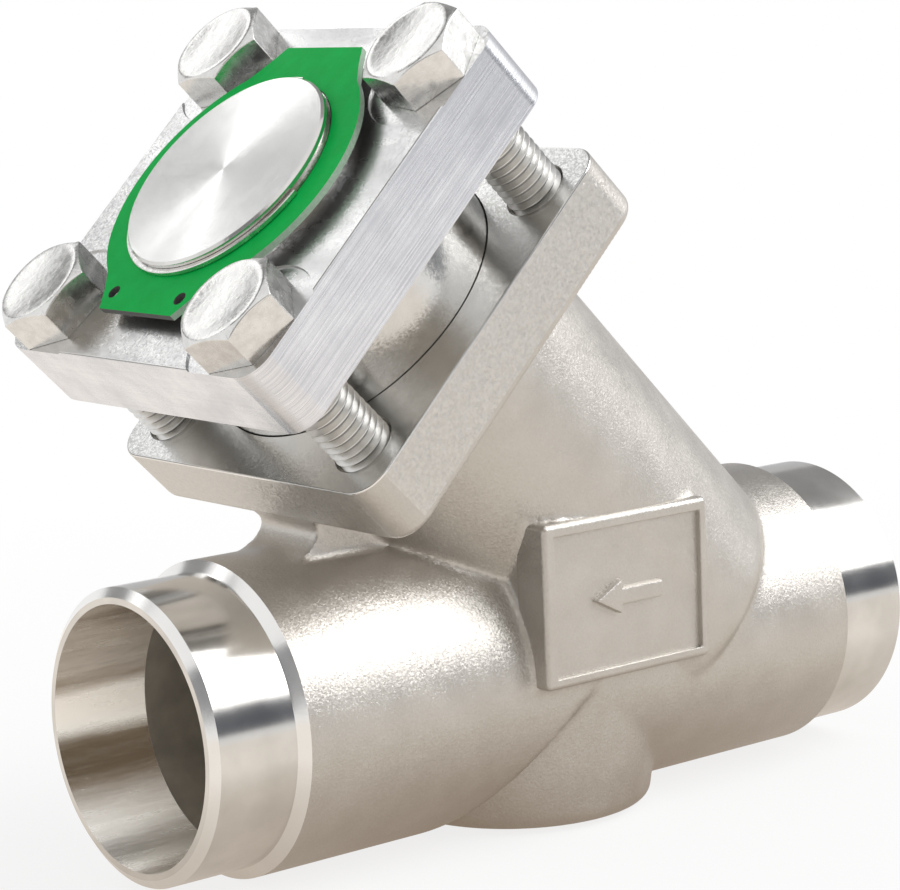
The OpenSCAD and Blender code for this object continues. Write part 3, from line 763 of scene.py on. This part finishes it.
def buildBonnet():
    b = bonnet
    half = b["side"] / 2
    plate = block("bonnetPlate", (-half, -half, b["low"]), (half, half, b["high"]))
    bevelUpright(plate, b["corner"], 10)
    easeEdges(plate, 0.35, 2)
    putInPlace(plate, neckFrame)
    high = b["high"]
    for w, y in boltAxes.values():
        place = neckFrame @ Matrix.Translation((w * mm, y * mm, 0))
        spot = turned("spotFace", [(0, high - b["spotDepth"]), (b["spot"], high - b["spotDepth"]),
                                   (b["spot"] + 0.3, high + 0.4), (0, high + 0.4)], place, 72)
        hole = turned("boltHole", [(0, 100), (b["hole"], 100), (b["hole"], 130), (0, 130)], place, 48)
        boolean(plate, [spot, hole], "DIFFERENCE")
    outer, inner, low = b["collar"], b["cylinderSeat"], b["collarLow"]
    collar = turned("collar", [(inner, low), (outer - 0.55, low), (outer, low + 0.6), (outer, 107), (inner, 107),
                               (inner, low)], neckFrame, 128)
    side, shoulder, ledge, groove, top = b["boss"], b["shoulder"], b["shoulderTop"], b["groove"], b["bossTop"]
    boss = turned("boss", [(0, 118), (shoulder, 118), (shoulder, ledge - 0.3), (shoulder - 0.3, ledge),
                           (side, ledge), (side, 122.5), (groove, 122.55), (groove, 123.5), (side, 123.55),
                           (side, top - 0.4), (side - 0.4, top), (0, top)], neckFrame, 128)
    hollow = turned("cylinderSeat", [(0, 99), (inner, 99), (inner, 106.4), (0, 106.4)], neckFrame, 96)
    boolean(plate, [collar, boss], "UNION")
    boolean(plate, [hollow], "DIFFERENCE")
    pinLow, pinSide = b["pinLow"], b["pin"]
    pin = turned("springPin", [(0, pinLow), (pinSide - 0.5, pinLow), (pinSide, pinLow + 0.5), (pinSide, 107),
                               (0, 107)], neckFrame, 64)
    boolean(plate, [pin], "UNION")
    dress(plate, "blasted", "milled", "faced", "collar", "ground", "edge")

    def isOuter(points):
        return all(max(abs(point.x), abs(point.y)) > half - b["corner"] - 0.1 for point in points)

    def isSide(points, n):
        return abs(n.z) < 0.4 and isOuter(points) and all(
            b["low"] - 0.1 < point.z < high + 0.1 for point in points)

    def isFaced(points, n):
        return n.z > 0.9 and all(point.z > top - 0.3 for point in points)

    def isTurned(points, n):
        return all(point.z < b["low"] + 0.05 and point.xy.length > 18 for point in points) or all(
            high + 0.1 < point.z < top + 0.01 and 18 < point.xy.length < shoulder + 0.1 for point in points)

    def isLeft(points, n):
        return isSide(points, n) and abs(n.x) > 0.75

    def isEdge(points, n):
        return 0.4 <= n.z < 0.97 and isOuter(points) and all(high - 0.4 < point.z < high + 0.1 for point in points)

    assign(plate, 1, isSide, neckFrame)
    assign(plate, 4, isLeft, neckFrame)
    # The top edge's bevel gets the paler steel: a painted highlight
    assign(plate, 5, isEdge, neckFrame)
    assign(plate, 3, isTurned, neckFrame)
    assign(plate, 2, isFaced, neckFrame)
    smoothBy(plate, 30)
    standFor(plate, ["bonnet"], "housing_assembly")
    return plate


plate = buildBonnet()
print("bonnet done", len(plate.data.polygons))


# Bolts

bolt = {"flats": 16, "seat": 119.1, "head": 6.8, "crown": 0.955, "crownSlope": 30,
        "dish": [(0, 0.35), (2.5, 0.32), (5.2, 0.2), (6.6, 0)],      # radius, and depth below the head's top
        "radius": 4.95, "root": 4.06, "pitch": 1.5, "tip": 78.6,
        "turns": {"boltFront": 44, "boltLeft": 40, "boltBack": 51, "boltRight": 9},
        "nodes": {"boltFront": "bolt_front", "boltLeft": "bolt_left", "boltBack": "bolt_back",
                  "boltRight": "bolt_right"}}


def buildBolt():
    b = bolt
    corner = b["flats"] / math.sqrt(3)
    top = b["flats"] / 2 * b["crown"]
    high = b["head"]
    deselectAll()
    bpy.ops.mesh.primitive_cylinder_add(vertices=6, radius=corner * mm, depth=high * mm,
                                        location=(0, 0, high / 2 * mm))
    head = bpy.context.object
    head.name = head.data.name = "boltHead"
    bpy.ops.object.transform_apply(location=True, rotation=True, scale=True)
    slope = math.tan(math.radians(b["crownSlope"]))
    crown = turned("crown", [(0, -1), (corner + 1, -1), (corner + 1, high - (corner + 1 - top) * slope),
                             (top, high), (0, high)], rowFrame, 96)
    boolean(head, [crown], "INTERSECT")
    dish = [(radius, high - below) for radius, below in b["dish"]]
    boolean(head, [turned("dish", dish + [(dish[-1][0], high + 1), (0, high + 1)], rowFrame, 72)], "DIFFERENCE")
    easeEdges(head, 0.16, 2, 25)
    p = b["pitch"]
    rise = b["radius"] - b["root"]
    ridge = [(0, 0, p / 8), (rise, 0, p * 5 / 16), (0, 0, p / 8), (-rise, 0, p * 5 / 16), (0, 0, p / 8)]
    thread = drawLine("thread", (b["root"], 0, 0), ridge)
    bpy.ops.object.mode_set(mode="OBJECT")
    length = b["seat"] - b["tip"]
    count = math.ceil(length / p) + 2
    applyModifier(thread, "SCREW", angle=math.tau, screw_offset=p * mm, iterations=count, steps=40,
                  render_steps=40, use_merge_vertices=True, merge_threshold=0.00001)
    editAll(thread)
    bpy.ops.mesh.remove_doubles(threshold=0.00001)
    bpy.ops.mesh.fill_holes(sides=0)
    bpy.ops.transform.translate(value=(0, 0, -(length + p * 1.2) * mm))
    closeEdit()
    r = b["radius"]
    trim = turned("trim", [(0, -length), (r - 1, -length), (r + 0.02, -length + 1), (r + 0.02, 0.6), (0, 0.6)],
                  rowFrame, 64)
    boolean(thread, [trim], "INTERSECT")
    print("thread", len(thread.data.polygons))
    boolean(head, [thread], "UNION")
    return head


def placeBolts(first):
    seat, root = bolt["seat"], bolt["root"]
    for name, (w, y) in boltAxes.items():
        piece = first.copy()
        piece.data = first.data.copy()
        piece.name = piece.data.name = name
        bpy.context.scene.collection.objects.link(piece)
        turn = math.radians(120 - bolt["turns"][name])
        place = neckFrame @ Matrix.Translation((w * mm, y * mm, seat * mm))
        putInPlace(piece, place @ Matrix.Rotation(turn, 4, "Z"))
        dress(piece, "bolt", "thread", "root")
        assign(piece, 1, lambda points, n: min(point.z for point in points) < -0.01, place)
        # Faces inside the root radius take the dark finish: painted shade in the thread's grooves
        assign(piece, 2, lambda points, n: min(point.z for point in points) < -0.3 and max(
            point.xy.length for point in points) < root + 0.02, place)
        smoothBy(piece, 32)
        standFor(piece, [bolt["nodes"][name]], "housing_assembly")
    removePiece(first)


placeBolts(buildBolt())
print("bolts done")


# Ring plate and snap ring

ringPlate = {"outer": 25.3, "inner": 19.75, "low": 121.4, "thick": 1.1, "reach": 27.6, "width": 20, "spread": 15,
             "hole": 1.2, "holePlace": (-24.2, 9.2)}


def buildRingPlate():
    r = ringPlate
    low, high, wide = r["low"], r["low"] + r["thick"], r["width"] / 2
    plate = turned("ringPlate", [(0, low), (r["outer"], low), (r["outer"], high), (0, high)], neckFrame, 128)
    root = math.sqrt(r["outer"] ** 2 - r["spread"] ** 2) - 0.1
    midX, midY = (root + r["reach"]) / 2, (r["spread"] + wide) / 2 - 0.25
    half = [(root - 4, r["spread"] - 2), (root, r["spread"]), (midX, midY), (r["reach"], wide)]
    for side in (-1, 1):
        outline = [(side * x, -y) for x, y in half] + [(side * x, y) for x, y in reversed(half)]
        boolean(plate, [outlined("lobe", outline, low, high, neckFrame)], "UNION")

    def drill(name, radius, place, steps):
        hole = turned(name, [(0, low - 2), (radius, low - 2), (radius, high + 2), (0, high + 2)], place, steps)
        boolean(plate, [hole], "DIFFERENCE")

    drill("ringHole", r["inner"], neckFrame, 128)
    holeX, holeY = r["holePlace"]
    for y in (-holeY, holeY):
        drill("wireHole", r["hole"], neckFrame @ Matrix.Translation((holeX * mm, y * mm, 0)), 24)
    easeEdges(plate, 0.12, 2)
    dress(plate, "green", "paleEdge", "paintedShade")
    assign(plate, 1, lambda points, n: -0.9 < n.z < 0.3, neckFrame)
    # Underside, inner edge and wire holes take the near-black finish: painted shade under and inside the plate
    assign(plate, 2, lambda points, n: n.z < -0.9 or max(
        point.xy.length for point in points) < r["inner"] + 0.1, neckFrame)
    assign(plate, 2, lambda points, n: abs(n.z) < 0.3 and all(
        point.x < holeX + 2.2 and abs(abs(point.y) - holeY) < r["hole"] + 0.1 for point in points), neckFrame)
    smoothBy(plate, 30)
    standFor(plate, ["ring_plate"], "housing_assembly")


snapRing = {"low": 122.6, "thick": 0.88, "inner": 18.75, "outer": 20.45, "ease": 0.12,
            "arc": 267.5, "turn": -97.5}       # degrees


def buildSnapRing():
    s = snapRing
    low, inner, outer, e = s["low"], s["inner"], s["outer"], s["ease"]
    high = low + s["thick"]
    ring = turned("snapRing", [(inner, low + e), (inner + e, low), (outer - e, low), (outer, low + e),
                               (outer, high - e), (outer - e, high), (inner + e, high), (inner, high - e),
                               (inner, low + e)], rowFrame, 90, s["arc"])
    putInPlace(ring, neckFrame @ Matrix.Rotation(math.radians(s["turn"]), 4, "Z"))
    dress(ring, "bolt")
    smoothBy(ring, 30)
    standFor(ring, ["snap_ring"], "housing_assembly")


buildRingPlate()
buildSnapRing()
print("ring plate done")


# Spring: a coil

spring = {"low": 25.5, "high": 105.4, "coil": 10, "wire": 0.9, "turns": 10}


def buildSpring():
    s = spring
    deselectAll()
    bpy.ops.mesh.primitive_circle_add(vertices=12, radius=s["wire"] * mm, rotation=(math.radians(90), 0, 0))
    coil = bpy.context.object
    coil.name = coil.data.name = "closingSpring"
    bpy.ops.object.transform_apply(location=True, rotation=True, scale=True)
    editAll(coil)
    bpy.ops.transform.translate(value=(s["coil"] * mm, 0, s["low"] * mm))
    bpy.ops.object.mode_set(mode="OBJECT")
    pitch = (s["high"] - s["low"]) / s["turns"]
    applyModifier(coil, "SCREW", angle=math.tau, screw_offset=pitch * mm, iterations=s["turns"],
                  steps=36, render_steps=36)
    editAll(coil)
    bpy.ops.mesh.fill_holes(sides=0)
    closeEdit()
    putInPlace(coil, neckFrame)
    dress(coil, "spring")
    smoothBy(coil, 40)
    standFor(coil, ["closing_spring"], "housing_assembly")
    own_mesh(coil)


buildSpring()
print("spring done")


# Inner pieces, which stay as the CAD has them, and their finishes

innerPieces = {"bonnet_gasket": "gasket", "damping_cylinder": "turned", "valve_cone": "turned",
               "piston_ring": "soft", "seal_ring": "soft", "seal_clamp_plate": "turned", "clamp_screw": "bolt",
               "lock_washer": "spring"}
for node, finish in innerPieces.items():
    dress(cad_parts[node], finish)


# Stage, lights and camera

stage = {
    "centre": (-0.08, 0, 0.03), "ambient": 0.6,       # ambient lights what isn't metal
    "floor": {"size": 8, "height": -26.12, "grey": 0.88, "rough": 0.7, "gloss": 0.1,
              "near": 0.08, "far": 0.34, "share": 0.80},  # fades to white between near and far, in m
    # the table card's warm dim centre is a painted shadow of the object on the floor, as metal sees it
    "table": {"near": (0.42, 0.34, 0.27), "far": (0.98, 0.92, 0.85), "radius": 0.5, "place": (-0.11, -0.13),
              "height": -26.0,                            # the floor as metal sees it
              "shift": 0.045, "narrow": 0.55, "fade": (0.012, 0.08)},
    "camera": {"place": (-0.39467, -0.38385, 0.11560), "turn": (-38.81, 8.92, -2.19), "lens": 117.603},
    "lamps": {   # direction from the centre, distance, width and height in m, watts
        "keyLamp": ((0.620, -0.472, 0.627), 2.6, (1.9, 2.17), 48),
        "backLamp": ((-0.156, 0.770, 0.620), 1.4, (1.3, 0.13), 0.64),
    },
    "cards": {   # grey cards that only metal reflects: direction, distance, size, colour
        "cameraCard": ((-0.50, -0.80, 0.34), 1.5, (1.9, 0.96), (0.34, 0.30, 0.25)),
        "topCard": ((0.62, 0.34, 0.71), 1.3, (1.1, 1.12), (0.34, 0.34, 0.34)),
        "gapCard": ((0.619, -0.768, 0.165), 2.7, (2.4, 0.80), (0.12, 0.13, 0.15)),
        "rightCard": ((0.80, 0.55, 0.22), 1.6, (2.0, 1.3), (0.58, 0.58, 0.59)),
        "ceilingCard": ((-0.20, 0.48, 0.86), 1.2, (1.3, 0.62), (0.24, 0.24, 0.24)),
        "bevelCard": ((-0.90, -0.31, 0.31), 1.2, (0.60, 0.60), (0.26, 0.26, 0.27)),
        "backCard": ((-0.17, 0.90, 0.40), 1.5, (1.2, 0.36), (0.30, 0.30, 0.30)),
    },
}


def buildFloor():
    # Grey for the light on the object, but nearly white to the camera and to metal
    v = stage["floor"]
    deselectAll()
    bpy.ops.mesh.primitive_plane_add(size=v["size"], location=(0, 0, v["height"] * mm))
    floor = bpy.context.object
    floor.name = "floor"
    f = Finish("floorPaint", Base_Color=(v["grey"], v["grey"], v["grey"], 1), Roughness=v["rough"],
               Specular_IOR_Level=v["gloss"])
    place = f.node("ShaderNodeTexCoord", out="Object")
    middle = (stage["centre"][0], 0, 0)
    away = f.node("ShaderNodeVectorMath", {"operation": "DISTANCE"}, {0: place, 1: middle}, out=1)
    rays = f.tree.nodes.new("ShaderNodeLightPath")
    seen = Link(f, rays.outputs["Is Camera Ray"]) + Link(f, rays.outputs["Is Glossy Ray"])
    seen = seen + Link(f, rays.outputs["Is Transmission Ray"])
    glow = f.tree.nodes.new("ShaderNodeEmission")
    glow.inputs["Strength"].default_value = 1.0
    blend = f.tree.nodes.new("ShaderNodeMixShader")
    share = f.spread(away, v["near"], v["far"], v["share"], 1.0) * seen
    f.tree.links.new(share.socket, blend.inputs[0])
    f.tree.links.new(f.shader.outputs[0], blend.inputs[1])
    f.tree.links.new(glow.outputs[0], blend.inputs[2])
    f.tree.links.new(blend.outputs[0], f.output.inputs["Surface"])
    floor.data.materials.append(f.material)


def buildWorld():
    # White all round; dimmer where it lights what isn't metal
    world = bpy.data.worlds.new("studio")
    bpy.context.scene.world = world
    world.use_nodes = True
    tree = world.node_tree
    tree.nodes.clear()
    rays = tree.nodes.new("ShaderNodeLightPath")
    seen = tree.nodes.new("ShaderNodeMath")
    seen.operation = "ADD"
    seen.use_clamp = True
    both = tree.nodes.new("ShaderNodeMath")
    both.operation = "ADD"
    tree.links.new(rays.outputs["Is Glossy Ray"], both.inputs[0])
    tree.links.new(rays.outputs["Is Transmission Ray"], both.inputs[1])
    tree.links.new(rays.outputs["Is Camera Ray"], seen.inputs[0])
    tree.links.new(both.outputs[0], seen.inputs[1])
    strength = tree.nodes.new("ShaderNodeMapRange")
    strength.inputs["To Min"].default_value = stage["ambient"]
    strength.inputs["To Max"].default_value = 1.0
    tree.links.new(seen.outputs[0], strength.inputs["Value"])
    sky = tree.nodes.new("ShaderNodeBackground")
    sky.inputs["Color"].default_value = (1, 1, 1, 1)
    tree.links.new(strength.outputs[0], sky.inputs["Strength"])
    out = tree.nodes.new("ShaderNodeOutputWorld")
    tree.links.new(sky.outputs[0], out.inputs["Surface"])


def facing(direction, away):
    # Place and turn of something that faces the centre, its width along the pipe as far as it can be
    centre = Vector(stage["centre"])
    z = Vector(direction).normalized()
    y = z.cross(Vector((1, 0, 0))).normalized()
    return Matrix.Translation(centre + z * away) @ Matrix((y.cross(z), y, z)).transposed().to_4x4()


def buildLamps():
    for name, (direction, away, size, power) in stage["lamps"].items():
        data = bpy.data.lights.new(name, "AREA")
        data.shape = "RECTANGLE"
        data.size, data.size_y = size
        data.energy = power
        lamp = bpy.data.objects.new(name, data)
        bpy.context.scene.collection.objects.link(lamp)
        lamp.matrix_world = facing(direction, away)


def glowing(name, colour):
    # Plain light of one colour
    material = bpy.data.materials.new(name)
    material.use_nodes = True
    tree = material.node_tree
    tree.nodes.clear()
    glow = tree.nodes.new("ShaderNodeEmission")
    glow.inputs["Color"].default_value = (*colour, 1)
    out = tree.nodes.new("ShaderNodeOutputMaterial")
    tree.links.new(glow.outputs[0], out.inputs["Surface"])
    return material


def tableFinish():
    # Warm and dim below the object, pale further out: the dim centre is a painted shadow of the object, seen only
    # in reflections
    v = stage["table"]
    f = Finish("tablePaint")
    place = f.node("ShaderNodeTexCoord", out="Object")
    near = f.node("ShaderNodeMapping", {"vector_type": "POINT"},
                  {"Vector": place, "Location": (v["shift"], 0, 0), "Scale": (v["narrow"], 1, 0)})
    away = f.node("ShaderNodeVectorMath", {"operation": "LENGTH"}, {0: near}, out=1)
    colour = f.mix(f.spread(away, *v["fade"]), (*v["near"], 1), (*v["far"], 1))
    glow = f.node("ShaderNodeEmission", None, {"Color": colour})
    f.tree.links.new(glow.socket, f.output.inputs["Surface"])
    return f.material


def onlyReflected(card):
    # Seen in reflections and nowhere else
    card.visible_camera = card.visible_diffuse = card.visible_shadow = card.visible_transmission = False


def buildCards():
    for name, (direction, away, size, colour) in stage["cards"].items():
        deselectAll()
        bpy.ops.mesh.primitive_plane_add(size=1)
        card = bpy.context.object
        card.name = name
        card.matrix_world = facing(direction, away) @ Matrix.Diagonal((*size, 1, 1))
        card.data.materials.append(glowing(name + "Paint", colour))
        onlyReflected(card)
    v = stage["table"]
    deselectAll()
    bpy.ops.mesh.primitive_circle_add(vertices=64, radius=v["radius"], fill_type="NGON",
                                      location=(*v["place"], v["height"] * mm))
    bpy.ops.object.transform_apply(location=True, rotation=False, scale=False)
    table = bpy.context.object
    table.name = "tableCard"
    table.data.materials.append(tableFinish())
    onlyReflected(table)


def buildCamera():
    # Turned by azimuth, elevation and roll
    v = stage["camera"]
    az, el, roll = (math.radians(a) for a in v["turn"])
    back = Vector((math.sin(az) * math.cos(el), -math.cos(az) * math.cos(el), math.sin(el)))
    side = (-back).cross(Vector((0, 0, 1))).normalized()
    up = side.cross(-back)
    right = side * math.cos(roll) + up * math.sin(roll)
    top = up * math.cos(roll) - side * math.sin(roll)
    data = bpy.data.cameras.new("camera")
    data.lens = v["lens"]
    data.sensor_width = 36
    data.clip_start = 0.01
    camera = bpy.data.objects.new("camera", data)
    bpy.context.scene.collection.objects.link(camera)
    turn = Matrix((right, top, back)).transposed().to_4x4()
    camera.matrix_world = Matrix.Translation(v["place"]) @ turn
    bpy.context.scene.camera = camera


buildFloor()
buildWorld()
buildLamps()
buildCards()
buildCamera()
bpy.context.scene.view_settings.view_transform = "Standard"
